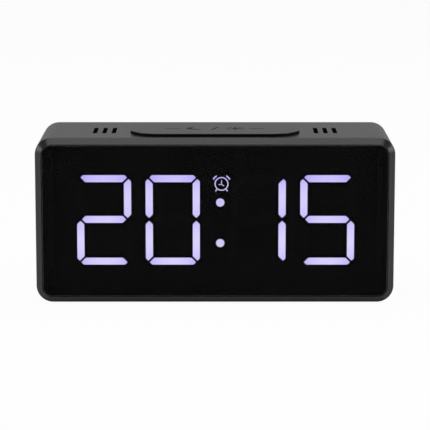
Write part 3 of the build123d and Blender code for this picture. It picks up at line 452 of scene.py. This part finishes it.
def ledPackage(name, look):
    # A pale ceramic body with a yellow lens on its front face
    material, tree, shader = newMaterial(name)
    place = objectPlace(tree)
    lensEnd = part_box("display_leds")[0].y + look["lensDepth"]
    front = maths(tree, "LESS_THAN", axisValue(tree, place, "Y"), lensEnd)
    grain = noise(tree, place, look["grainScale"])
    body = mottled(tree, grain, look["bodyDark"], look["bodyPale"])
    feedShader(tree, shader, {
        "Base Color": blendColours(tree, front, body, look["lens"]),
        "Roughness": spread(tree, grain, look["roughLow"], look["roughHigh"])})
    return material


ledLook = {"bodyDark": (0.72, 0.71, 0.68), "bodyPale": (0.8, 0.79, 0.76), "grainScale": 2500.0,
           "roughLow": 0.35, "roughHigh": 0.5, "lens": (0.75, 0.6, 0.12), "lensDepth": 0.1 * mm}


def chipBody(name, look):
    # Black epoxy with tinned leads beyond its long sides
    material, tree, shader = newMaterial(name)
    place = objectPlace(tree)
    low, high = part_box("controller_chip")
    away = distanceFrom(tree, place, "Z", (low.z + high.z) / 2)
    lead = maths(tree, "GREATER_THAN", away, (high.z - low.z) / 2 - look["leadLength"])
    grain = noise(tree, place, look["grainScale"])
    epoxy = mottled(tree, grain, look["epoxyDark"], look["epoxyPale"])
    feedShader(tree, shader, {
        "Base Color": blendColours(tree, lead, epoxy, look["lead"]),
        "Metallic": lead,
        "Roughness": spread(tree, grain, look["roughLow"], look["roughHigh"])})
    relief(tree, shader, grain, look["grainDepth"], look["grainStrength"])
    return material


chipLook = {
    "epoxyDark": (0.012, 0.012, 0.013), "epoxyPale": (0.022, 0.022, 0.024), "grainScale": 2800.0,
    "grainDepth": 0.02 * mm, "grainStrength": 0.3, "roughLow": 0.42, "roughHigh": 0.55,
    "lead": (0.66, 0.66, 0.64), "leadLength": 1.45 * mm,
}


def sleevedCan(name, nodeName, look):
    # A dark shrink sleeve that leaves the can's end bare
    material, tree, shader = newMaterial(name)
    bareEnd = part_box(nodeName)[0].y + look["bareDepth"]
    bare = maths(tree, "LESS_THAN", axisValue(tree, objectPlace(tree), "Y"), bareEnd)
    lines = noise(tree, objectPlace(tree, look["lineStretch"]), look["lineScale"])
    jacket = mottled(tree, lines, look["sleeve"], shade(look["sleeve"], look["lineShade"]))
    feedShader(tree, shader, {
        "Base Color": blendColours(tree, bare, jacket, look["cap"]),
        "Metallic": bare,
        "Roughness": spread(tree, lines, look["roughLow"], look["roughHigh"])})
    return material


canLook = {"bareDepth": 0.12 * mm, "lineStretch": (1, 1, 0.1), "lineScale": 1400.0,
           "lineShade": 1.4, "roughLow": 0.28, "roughHigh": 0.42}
capacitorLook = dict(canLook, sleeve=(0.012, 0.012, 0.014), cap=(0.72, 0.72, 0.72))
buzzerLook = dict(canLook, sleeve=(0.014, 0.014, 0.015), cap=(0.03, 0.03, 0.03))


def resistorChip(name, look):
    # Black glaze between two tinned ends, which lie above and below
    material, tree, shader = newMaterial(name)
    place = objectPlace(tree)
    low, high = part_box("resistors")
    away = distanceFrom(tree, place, "Z", (low.z + high.z) / 2)
    end = maths(tree, "GREATER_THAN", away, (high.z - low.z) / 2 - look["endLength"])
    glaze = mottled(tree, noise(tree, place, look["grainScale"]), look["glazeDark"],
                    look["glazePale"])
    feedShader(tree, shader, {
        "Base Color": blendColours(tree, end, glaze, look["end"]),
        "Metallic": end})
    setShader(shader, {"Roughness": look["roughness"]})
    return material


resistorLook = {"glazeDark": (0.02, 0.02, 0.022), "glazePale": (0.035, 0.035, 0.038),
                "grainScale": 2600.0, "end": (0.7, 0.7, 0.68), "endLength": 0.4 * mm,
                "roughness": 0.35}


def flatCable(name, look):
    # Grey wires side by side, with a dark first wire and painted shade down in the grooves between
    # them
    material, tree, shader = newMaterial(name)
    place = objectPlace(tree)
    low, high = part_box("display_ribbon")
    across = maths(tree, "SUBTRACT", axisValue(tree, place, "X"), low.x)
    pitch = (high.x - low.x) / look["wires"]
    height = spread(tree, maths(tree, "PINGPONG", across, pitch / 2), 0, 1, start=0, end=pitch / 2)
    first = maths(tree, "LESS_THAN", across, pitch)
    # Painted shade: the grey is darker down in the grooves between the wires
    grey = mottled(tree, height, shade(look["colour"], look["paintedGrooveShade"]), look["colour"],
                   start=0.0, end=0.5)
    skin = noise(tree, place, look["skinScale"])
    feedShader(tree, shader, {
        "Base Color": blendColours(tree, first, grey, look["marker"]),
        "Roughness": spread(tree, skin, look["roughLow"], look["roughHigh"])})
    relief(tree, shader, height, look["ridgeDepth"], look["ridgeStrength"])
    return material


ribbonLook = {
    "wires": 12, "colour": (0.4, 0.4, 0.41), "marker": (0.35, 0.03, 0.03), "paintedGrooveShade": 0.45,
    "ridgeDepth": 0.2 * mm, "ridgeStrength": 0.8, "skinScale": 800.0,
    "roughLow": 0.4, "roughHigh": 0.55,
}


def wireSkin(name, look):
    material, tree, shader = newMaterial(name)
    skin = noise(tree, objectPlace(tree), look["skinScale"], detail=3.0)
    feedShader(tree, shader, {
        "Base Color": mottled(tree, skin, shade(look["colour"], look["skinShade"]), look["colour"]),
        "Roughness": spread(tree, skin, look["roughLow"], look["roughHigh"])})
    relief(tree, shader, skin, look["skinDepth"], look["skinStrength"])
    return material


wireLook = {"skinScale": 500.0, "skinShade": 0.8, "skinDepth": 0.03 * mm, "skinStrength": 0.3,
            "roughLow": 0.38, "roughHigh": 0.52}
redWireLook = dict(wireLook, colour=(0.45, 0.015, 0.012))
blackWireLook = dict(wireLook, colour=(0.014, 0.014, 0.015))
greyWireLook = dict(wireLook, colour=(0.3, 0.3, 0.31))


def cellJacket(name, nodeName, nubSide, look):
    # Bare steel at both ends, a silver-grey band by the nub and a plain blue jacket
    material, tree, shader = newMaterial(name)
    place = objectPlace(tree)
    low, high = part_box(nodeName)
    fromNub = distanceFrom(tree, place, "X", high.x if nubSide > 0 else low.x)
    inBand = maths(tree, "LESS_THAN", fromNub, look["bandLength"])
    nearNub = maths(tree, "LESS_THAN", fromNub, look["nubBare"])
    atBase = maths(tree, "GREATER_THAN", fromNub, high.x - low.x - look["baseBare"])
    colour = blendColours(tree, inBand, look["jacket"], look["band"])
    colour = blendColours(tree, maths(tree, "MAXIMUM", nearNub, atBase), colour, look["steel"])
    fine = noise(tree, objectPlace(tree, look["lineStretch"]), look["lineScale"], detail=3.0)
    stain = noise(tree, place, look["stainScale"], detail=3.0)
    feedShader(tree, shader, {
        "Base Color": tinted(tree, colour, mottled(tree, stain, look["stainDim"], white)),
        "Roughness": spread(tree, fine, look["roughLow"], look["roughHigh"])})
    setShader(shader, {"Metallic": look["metallic"]})
    return material


cellLook = {
    "jacket": (0.03, 0.06, 0.13), "band": (0.44, 0.45, 0.46), "steel": (0.7, 0.7, 0.69),
    "bandLength": 11 * mm, "nubBare": 2.4 * mm, "baseBare": 0.6 * mm,
    "lineStretch": (0.05, 1, 1), "lineScale": 1600.0, "stainScale": 220.0,
    "stainDim": (0.82, 0.82, 0.82), "roughLow": 0.22, "roughHigh": 0.36, "metallic": 0.85,
}
nubSides = {"battery_cell_1": -1, "battery_cell_2": 1, "battery_cell_3": -1}


# Fill for signs: pale print on the rear, and near-black painted shade down in the bar's sunk signs
def signInkAndShade(name, look):
    material, tree, shader = newMaterial(name)
    edge = noise(tree, objectPlace(tree), look["edgeScale"])
    rough, drift = look["roughness"], look["roughDrift"]
    feedShader(tree, shader, {
        "Base Color": mottled(tree, edge, shade(look["colour"], look["edgeShade"]), look["colour"]),
        "Roughness": spread(tree, edge, rough - drift, rough + drift)})
    setShader(shader, {"Specular IOR Level": look["specular"]})
    return material


inkAndShadeLook = {"edgeScale": 1800.0, "edgeShade": 0.8, "roughDrift": 0.06, "specular": 0.3}
# Painted shade: near-black sheets that stand in for the shade down in the bar's sunk signs
barSignShadeLook = dict(inkAndShadeLook, colour=(0.003, 0.003, 0.0032), roughness=0.6)
rearInkLook = dict(inkAndShadeLook, colour=(0.42, 0.42, 0.43), roughness=0.55)


def dress(material, *names):
    for name in names:
        slots = nodes[name].data.materials
        slots.clear()
        slots.append(material)


dress(sparkPlastic("casePlastic", casePlasticLook), "main_housing")
dress(sparkPlastic("rearPlastic", rearPlasticLook), "rear_cover", "battery_door")
dress(sparkPlastic("barPlastic", barPlasticLook), "snooze_bar")
dress(sparkPlastic("keyPlastic", keyPlasticLook),
      "time_button", "alarm_button", "down_button", "up_button")
dress(sparkPlastic("wellMoulding", wellPlasticLook), "reflector_block")
dress(smokedWindow("smokedWindow", windowLook), "front_lens")
for number, centre in enumerate(digitCentres(), 1):
    dress(milkyFiller(f"litFiller{number}", litLook, centre), f"digit_{number}_lit")
dress(milkyFiller("litFiller", dotLook), "colon_dots", "alarm_icon_filler")
dress(milkyFiller("unlitFiller", unlitLook), "unlit_segments")
dress(printedFilm("maskFilm", maskLook), "display_mask")
dress(closedFoam("tapeFoam", tapeLook), "lens_tape")
dress(softRubber("footRubber", footLook),
      "foot_front_left", "foot_front_right", "foot_rear_left", "foot_rear_right")
dress(circuitBoard("solderMask", boardLook), "main_board", "display_board", "snooze_board")
dress(ledPackage("ledPackage", ledLook), "display_leds")
dress(chipBody("chipBody", chipLook), "controller_chip")
dress(sleevedCan("capacitorSleeve", "capacitors", capacitorLook), "capacitors")
dress(sleevedCan("buzzerCase", "buzzer", buzzerLook), "buzzer")
dress(resistorChip("resistorChip", resistorLook), "resistors")
dress(plainMoulding("transistorEpoxy", transistorLook), "driver_transistors")
dress(plainMoulding("switchBody", switchLook), "rear_switch_bodies", "snooze_switch_body")
dress(plainMoulding("stemPlastic", stemLook), "snooze_switch_stem", "time_switch_stem",
      "alarm_switch_stem", "down_switch_stem", "up_switch_stem")
dress(plainMoulding("socketNylon", socketLook), "ribbon_sockets")
dress(plainMoulding("inletTongue", tongueLook), "usb_socket_tongue")
dress(brushedMetal("zincScrew", screwLook, "y"),
      "display_board_screws", "main_board_screws", "rear_cover_screws")
dress(brushedMetal("zincScrewUp", screwLook, "z"), "snooze_board_screws")
dress(brushedMetal("springWire", springLook, "z"), "snooze_spring_left", "snooze_spring_right")
dress(brushedMetal("contactNickel", contactLook, "z"),
      "battery_end_contacts", "battery_link_contacts", "battery_contact_springs")
dress(brushedMetal("inletShell", inletLook, "x"), "usb_socket_shell")
dress(brushedMetal("crystalCan", crystalLook, "x"), "clock_crystal")
dress(flatCable("flatCable", ribbonLook), "display_ribbon")
dress(wireSkin("redWire", redWireLook), "battery_lead_red")
dress(wireSkin("blackWire", blackWireLook), "battery_lead_black")
dress(wireSkin("greyWire", greyWireLook), "snooze_leads")
for number, (cellName, nubSide) in enumerate(nubSides.items(), 1):
    dress(cellJacket(f"cellJacket{number}", cellName, nubSide, cellLook), cellName)
print("dressed the CAD nodes")


# The return springs: each is copied into a piece of its own, held by the case

returnSprings = {"nodes": ("snooze_spring_left", "snooze_spring_right"), "travel": 0.6 * mm}


def makeReturnSpring(nodeName):
    piece = bpy.data.objects.new(nodeName + "_coil", nodes[nodeName].data.copy())
    scene.collection.objects.link(piece)
    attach(piece, "case")
    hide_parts(nodeName)
    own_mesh(piece)


for nodeName in returnSprings["nodes"]:
    makeReturnSpring(nodeName)
print("set the return springs")


# Flat signs: each is one thin mesh built from outlines

weldDistance = 1e-7
closedGap = 1e-9


def ringPoints(radius, centre=(0, 0), start=0.0, end=fullTurn, steps=32):
    turns = [start + (end - start) * step / steps for step in range(steps + 1)]
    return [(centre[0] + radius * math.cos(turn), centre[1] + radius * math.sin(turn))
            for turn in turns]


def strokePoints(first, second, width):
    # A straight stroke with square ends
    dx, dy = second[0] - first[0], second[1] - first[1]
    length = math.hypot(dx, dy)
    nx, ny = -dy / length * width / 2, dx / length * width / 2
    return [(first[0] + nx, first[1] + ny), (first[0] - nx, first[1] - ny),
            (second[0] - nx, second[1] - ny), (second[0] + nx, second[1] + ny)]


def arcPoints(radius, width, start, end, steps=28):
    # The outer and the inner line of a curved stroke
    return [ringPoints(edge, (0, 0), start, end, steps)
            for edge in (radius + width / 2, radius - width / 2)]


def addPlate(mesh, faces, toWorld, thickness):
    made = [mesh.faces.new([mesh.verts.new(toWorld(x, y, 0)) for x, y in points])
            for points in faces]
    corners = {vert for face in made for vert in face.verts}
    bmesh.ops.remove_doubles(mesh, verts=list(corners), dist=weldDistance)
    made = [face for face in made if face.is_valid]
    grown = bmesh.ops.extrude_face_region(mesh, geom=made, use_keep_orig=True)
    raised = [item for item in grown["geom"] if isinstance(item, bmesh.types.BMVert)]
    lift = [top - base for top, base in zip(toWorld(0, 0, thickness), toWorld(0, 0, 0))]
    bmesh.ops.translate(mesh, vec=lift, verts=raised)


def flatSign(name, drawing, toWorld, thickness, material, body):
    # A drawing is closed outlines, and strips: pairs of lines that bound a curved stroke
    outlines, strips = drawing
    mesh = bmesh.new()
    for outline in outlines:
        closed = math.dist(outline[0], outline[-1]) < closedGap
        addPlate(mesh, [outline[:-1] if closed else outline], toWorld, thickness)
    for outer, inner in strips:
        quads = [[outer[k], outer[k + 1], inner[k + 1], inner[k]] for k in range(len(outer) - 1)]
        addPlate(mesh, quads, toWorld, thickness)
    bmesh.ops.remove_doubles(mesh, verts=mesh.verts, dist=weldDistance)
    bmesh.ops.recalc_face_normals(mesh, faces=mesh.faces)
    data = bpy.data.meshes.new(name)
    mesh.to_mesh(data)
    mesh.free()
    data.materials.append(material)
    piece = bpy.data.objects.new(name, data)
    scene.collection.objects.link(piece)
    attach(piece, body)


# Painted shade in the sunk signs on top of the bar: thin near-black sheets in a moon, a slash and a
# sun between two lines

barSigns = {
    "moonRadius": 3.7 * mm, "cutRadius": 3.2 * mm, "cutShift": 1.9 * mm, "sunRadius": 1.7 * mm,
    "rayLength": 1.5 * mm, "rayGap": 0.8 * mm, "rays": 8, "stroke": 0.8 * mm,
    "fromMiddle": 8.5 * mm, "slashHeight": 8.4 * mm, "slashTurn": math.radians(18),
    "lineStart": 14.5 * mm, "lineEnd": 21 * mm,
    "sunk": 0.25 * mm, "inset": 0.03 * mm, "thickness": 0.12 * mm,
}


def moonOutline(look):
    # A disc with a smaller one cut out of its upper right
    outer = look["moonRadius"] - look["inset"]
    cut = look["cutRadius"] + look["inset"]
    shiftX, shiftY = look["cutShift"], look["cutShift"] / 2
    apart = math.hypot(shiftX, shiftY)
    facing = math.atan2(shiftY, shiftX)
    alongLine = (apart ** 2 + outer ** 2 - cut ** 2) / (2 * apart)
    outerTurn = math.acos(alongLine / outer)
    cutTurn = math.acos((apart - alongLine) / cut)
    back = ringPoints(outer, (0, 0), facing + outerTurn, facing + fullTurn - outerTurn)
    front = ringPoints(cut, (shiftX, shiftY), facing + math.pi + cutTurn,
                       facing + math.pi - cutTurn)
    return back + front[1:-1]


def sunOutlines(look, stroke):
    middle, inset = look["fromMiddle"], look["inset"]
    rayStart = look["sunRadius"] + look["rayGap"] + inset
    rayEnd = look["sunRadius"] + look["rayGap"] + look["rayLength"] - inset
    outlines = [ringPoints(look["sunRadius"] - inset, (middle, 0))]
    for number in range(look["rays"]):
        turn = fullTurn * number / look["rays"]
        ends = [(middle + reach * math.cos(turn), reach * math.sin(turn))
                for reach in (rayStart, rayEnd)]
        outlines.append(strokePoints(*ends, stroke))
    return outlines


def makeBarSignShade(look):
    low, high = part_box("snooze_bar")
    middleY = (low.y + high.y) / 2
    inset, stroke = look["inset"], look["stroke"] - 2 * look["inset"]

    def toWorld(x, y, lift):
        return x, middleY + y, high.z - look["sunk"] + lift

    moon = [(x - look["fromMiddle"], y) for x, y in moonOutline(look)]
    half = look["slashHeight"] / 2 - inset
    leanX, leanY = math.sin(look["slashTurn"]) * half, math.cos(look["slashTurn"]) * half
    slash = strokePoints((-leanX, -leanY), (leanX, leanY), stroke)
    lines = [strokePoints((side * (look["lineStart"] + inset), 0),
                          (side * (look["lineEnd"] - inset), 0), stroke) for side in (-1, 1)]
    drawing = [moon, slash] + sunOutlines(look, stroke) + lines, []
    flatSign("snoozeBarSignShade", drawing, toWorld, look["thickness"],
             signInkAndShade("barSignShade", barSignShadeLook), "snooze_bar")


makeBarSignShade(barSigns)
print("inlaid the bar")


# Pale printed signs above the rear buttons and by the inlet, in shares of one sign size

rearSigns = {"thickness": 0.06 * mm, "stroke": 0.4 * mm, "size": 2.0 * mm, "rise": 6.2 * mm}
bellShape = {"dome": 0.62, "domeRise": 0.15, "waist": (0.72, -0.55), "rim": (0.95, -0.72),
             "clapper": 0.2, "clapperDrop": 0.98}
clockShape = {"minuteHand": 0.62, "hourHand": 0.5}
levelShape = {"reach": 0.8}
inletShape = {"pin": 0.28, "ring": 0.8, "gap": math.radians(40)}


def clockSign(size, stroke):
    hands = [strokePoints((0, -stroke / 2), (0, size * clockShape["minuteHand"]), stroke),
             strokePoints((0, 0), (size * clockShape["hourHand"], 0), stroke)]
    return hands, [arcPoints(size, stroke, 0, fullTurn)]


def bellSign(size, stroke):
    shape = bellShape
    dome = ringPoints(size * shape["dome"], (0, size * shape["domeRise"]), 0, math.pi, steps=16)
    waistX, waistY = shade(shape["waist"], size)
    rimX, rimY = shade(shape["rim"], size)
    bell = dome + [(-waistX, waistY), (-rimX, rimY), (rimX, rimY), (waistX, waistY)]
    clapper = ringPoints(size * shape["clapper"], (0, -size * shape["clapperDrop"]), steps=12)
    return [bell, clapper], []


def minusSign(size, stroke):
    reach = size * levelShape["reach"]
    return [strokePoints((-reach, 0), (reach, 0), stroke)], []


def plusSign(size, stroke):
    reach = size * levelShape["reach"]
    uprights = [strokePoints((0, stroke / 2), (0, reach), stroke),
                strokePoints((0, -reach), (0, -stroke / 2), stroke)]
    return minusSign(size, stroke)[0] + uprights, []


def inletSign(size, stroke):
    # A barrel plug's ring and dot for the power inlet
    gap = inletShape["gap"]
    ring = arcPoints(size * inletShape["ring"], stroke, gap, fullTurn - gap)
    return [ringPoints(size * inletShape["pin"], steps=16)], [ring]


def makeRearSigns(look):
    ink = signInkAndShade("rearInk", rearInkLook)
    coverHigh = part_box("rear_cover")[1].y
    drawings = {"time_button": clockSign, "alarm_button": bellSign, "down_button": minusSign,
                "up_button": plusSign, "usb_socket_shell": inletSign}
    for nodeName, draw in drawings.items():
        low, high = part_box(nodeName)
        middleX, middleZ = (low.x + high.x) / 2, (low.z + high.z) / 2 + look["rise"]

        def toWorld(x, y, lift):
            # Drawn as seen from behind, so its right is the clock's -X
            return middleX - x, coverHigh + lift, middleZ + y

        flatSign(nodeName + "_sign", draw(look["size"], look["stroke"]), toWorld,
                 look["thickness"], ink, "case")


makeRearSigns(rearSigns)
print("printed the rear signs")


# Studio: a pale floor in a white world, one large lamp above and a soft panel at each side

studio = {
    "floorSize": 6.0, "floorPale": (0.84, 0.84, 0.85), "fleckScale": 6.0, "fleckShade": 1.02,
    "floorRough": 0.9, "floorSpecular": 0.1, "floorSeen": 0.96, "floorMirrored": 0.1,
    "topPower": 13.9, "topSize": (1.44, 1.6), "topPlace": (0, 0.05, 1.35),
    "sidePower": 6.4, "sideSize": (0.4, 0.5), "sidePlace": (1.2, -0.33, 0.37),
    "worldLevel": 0.10, "behindMirrored": 0.315, "behindStart": -0.1, "behindEnd": 0.35,
}


def addLamp(name, power, size, place, turn):
    lamp = bpy.data.lights.new(name, "AREA")
    lamp.shape = "RECTANGLE"
    lamp.size, lamp.size_y = size
    lamp.energy = power
    holder = bpy.data.objects.new(name, lamp)
    holder.location = place
    holder.rotation_euler = turn
    scene.collection.objects.link(holder)


def makeFloor(look):
    half = look["floorSize"] / 2
    data = bpy.data.meshes.new("floor")
    data.from_pydata([(-half, -half, 0), (half, -half, 0), (half, half, 0), (-half, half, 0)],
                     [], [(0, 1, 2, 3)])
    plane = bpy.data.objects.new("floor", data)
    scene.collection.objects.link(plane)
    material, tree, shader = newMaterial("floorFinish")
    fleck = noise(tree, objectPlace(tree), look["fleckScale"])
    pale = look["floorPale"]
    feedShader(tree, shader, {
        "Base Color": mottled(tree, fleck, pale, shade(pale, look["fleckShade"]))})
    setShader(shader, {"Roughness": look["floorRough"],
                       "Specular IOR Level": look["floorSpecular"]})
    showWhite(tree, shader, look["floorSeen"], look["floorMirrored"])
    data.materials.append(material)


def showWhite(tree, shader, seen, mirrored):
    # The camera sees almost plain white, and the shaded floor under it keeps the shadow
    path = tree.nodes.new("ShaderNodeLightPath")
    direct = maths(tree, "MULTIPLY", path.outputs["Is Camera Ray"], seen)
    bounced = maths(tree, "MAXIMUM", path.outputs["Is Glossy Ray"],
                    path.outputs["Is Transmission Ray"])
    share = maths(tree, "MAXIMUM", direct, maths(tree, "MULTIPLY", bounced, mirrored))
    glow = tree.nodes.new("ShaderNodeEmission")
    total = tree.nodes.new("ShaderNodeMixShader")
    tree.links.new(share, total.inputs["Fac"])
    tree.links.new(shader.outputs[0], total.inputs[1])
    tree.links.new(glow.outputs[0], total.inputs[2])
    tree.links.new(total.outputs[0], tree.nodes["Material Output"].inputs["Surface"])


def makeWorld(look):
    # White to the camera and through the window, and mirrored only from behind the clock
    world = bpy.data.worlds.new("studioWorld")
    scene.world = world
    world.use_nodes = True
    tree = world.node_tree
    background = tree.nodes["Background"]
    path = tree.nodes.new("ShaderNodeLightPath")
    direction = tree.nodes.new("ShaderNodeTexCoord")
    behind = spread(tree, axisValue(tree, direction.outputs["Generated"], "Y"),
                    0.0, look["behindMirrored"], look["behindStart"], look["behindEnd"])
    glossy = maths(tree, "MULTIPLY", path.outputs["Is Glossy Ray"], behind)
    unlit = maths(tree, "MAXIMUM", glossy, path.outputs["Is Transmission Ray"])
    share = maths(tree, "MAXIMUM", path.outputs["Is Camera Ray"], unlit)
    level = spread(tree, share, look["worldLevel"], 1.0)
    tree.links.new(level, background.inputs["Strength"])
    background.inputs["Color"].default_value = (*white, 1)


def makeStudio(look):
    makeFloor(look)
    addLamp("topLamp", look["topPower"], look["topSize"], look["topPlace"], (0, 0, 0))
    x, y, z = look["sidePlace"]
    for side, name in ((-1, "sideLampLeft"), (1, "sideLampRight")):
        addLamp(name, look["sidePower"], look["sideSize"], (side * x, y, z),
                (0, side * math.pi / 2, 0))
    makeWorld(look)


makeStudio(studio)


# Camera at the photograph's place

cameraLook = {"place": (0, -0.923411, 0.198049), "pitch": math.radians(79.9094),
              "lens": 183.14, "sensor": 36.0}


def makeCamera(look):
    data = bpy.data.cameras.new("camera")
    data.sensor_fit = "HORIZONTAL"
    data.sensor_width = look["sensor"]
    data.lens = look["lens"]
    holder = bpy.data.objects.new("camera", data)
    holder.location = look["place"]
    holder.rotation_euler = (look["pitch"], 0, 0)
    scene.collection.objects.link(holder)
    scene.camera = holder


makeCamera(cameraLook)
print("set the studio and the camera")
